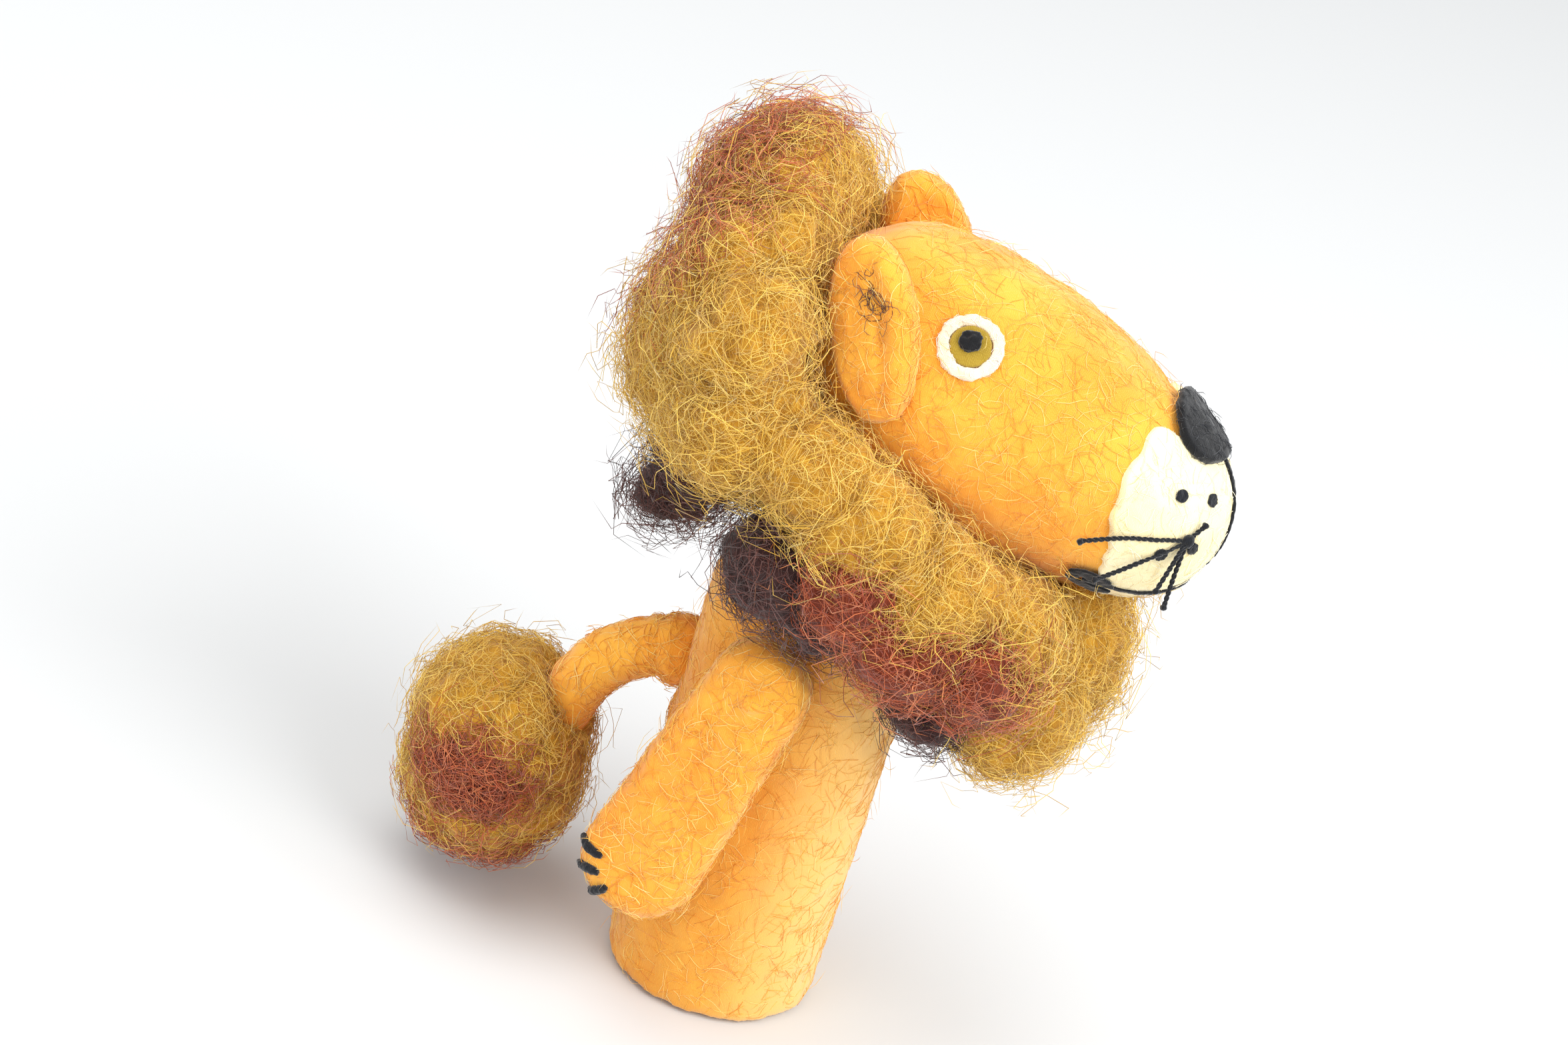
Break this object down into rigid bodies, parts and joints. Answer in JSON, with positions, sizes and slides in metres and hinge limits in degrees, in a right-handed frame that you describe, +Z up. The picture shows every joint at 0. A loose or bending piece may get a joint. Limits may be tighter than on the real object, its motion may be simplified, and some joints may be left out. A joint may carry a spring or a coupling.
{
  "type": "finger puppet",
  "caption": "Felted wool lion finger puppet: open sleeve body, nodding and turning head with loose wool mane, swinging arms and a tufted tail.",
  "frame": {"origin": "centre of the finger hole's mouth, in the plane of the open hem", "axes": "+Z up along the sleeve, the lion looks along -Y, its right side is at -X"},
  "size_m": [0.063, 0.0946, 0.1221],
  "materials": {
    "felt_yellow": "matte",
    "wool_core": "matte",
    "felt_cream": "matte",
    "felt_black": "matte",
    "thread_black": "matte",
    "thread_yellow": "matte",
    "felt_white": "matte",
    "felt_olive": "matte",
    "wool_gold": "matte",
    "wool_rust": "matte",
    "wool_brown": "matte"
  },
  "bodies": {
    "body": {"body_sleeve": "felt_yellow", "right_arm_thread": "thread_yellow", "left_arm_thread": "thread_yellow"},
    "right_arm_body": {"right_arm": "felt_yellow", "right_claws": "thread_black"},
    "left_arm_body": {"left_arm": "felt_yellow", "left_claws": "thread_black"},
    "neck": {"neck_stem": "felt_yellow"},
    "tail_root_body": {"tail_root": "felt_yellow"},
    "tail_body": {"tail": "felt_yellow", "tail_tuft": "wool_gold", "tuft_rust_heart": "wool_rust", "tuft_rust_tip": "wool_rust"},
    "head": {"head_skin": "felt_yellow", "right_ear": "felt_yellow", "left_ear": "felt_yellow", "head_core": "wool_core", "muzzle_patch": "felt_cream", "nose": "felt_black", "right_pupil": "felt_black", "left_pupil": "felt_black", "right_mouth_corner": "felt_black", "left_mouth_corner": "felt_black", "right_whisker_dots": "felt_black", "left_whisker_dots": "felt_black", "mouth_line": "thread_black", "right_whiskers": "thread_black", "left_whiskers": "thread_black", "right_eye_white": "felt_white", "left_eye_white": "felt_white", "right_iris": "felt_olive", "left_iris": "felt_olive", "mane_crown": "wool_gold", "mane_nape": "wool_gold", "mane_bib": "wool_gold", "right_mane_crest": "wool_gold", "left_mane_crest": "wool_gold", "right_mane_upper_side": "wool_gold", "left_mane_upper_side": "wool_gold", "right_mane_side": "wool_gold", "left_mane_side": "wool_gold", "right_mane_cheek": "wool_gold", "left_mane_cheek": "wool_gold", "right_mane_rust_lock": "wool_rust", "left_mane_rust_lock": "wool_rust", "right_mane_brown_lock": "wool_brown", "left_mane_brown_lock": "wool_brown"}
  },
  "joints": [
    {"name": "head_turn", "type": "hinge", "parent": "body", "child": "neck", "pos_m": [0, 0, 0.076], "axis": [0, 0, 1], "range_deg": [-20, 20], "stiffness_Nm_per_rad": 0.05},
    {"name": "head_nod", "type": "hinge", "parent": "neck", "child": "head", "pos_m": [0, 0, 0.076], "axis": [1, 0, 0], "range_deg": [-12, 9], "stiffness_Nm_per_rad": 0.12},
    {"name": "right_arm_swing", "type": "hinge", "parent": "body", "child": "right_arm_body", "pos_m": [-0.0187, 0.002, 0.0535], "axis": [-1, 0, 0], "range_deg": [-12, 40], "stiffness_Nm_per_rad": 0.002},
    {"name": "left_arm_swing", "type": "hinge", "parent": "body", "child": "left_arm_body", "pos_m": [0.0187, 0.002, 0.0535], "axis": [-1, 0, 0], "range_deg": [-12, 40], "stiffness_Nm_per_rad": 0.002},
    {"name": "tail_wag", "type": "hinge", "parent": "body", "child": "tail_root_body", "pos_m": [0, 0.0189, 0.0435], "axis": [0, 0, 1], "range_deg": [-22, 22], "stiffness_Nm_per_rad": 0.005},
    {"name": "tail_lift", "type": "hinge", "parent": "tail_root_body", "child": "tail_body", "pos_m": [0, 0.0189, 0.0435], "axis": [1, 0, 0], "range_deg": [-8, 60], "stiffness_Nm_per_rad": 0.02}
  ]
}
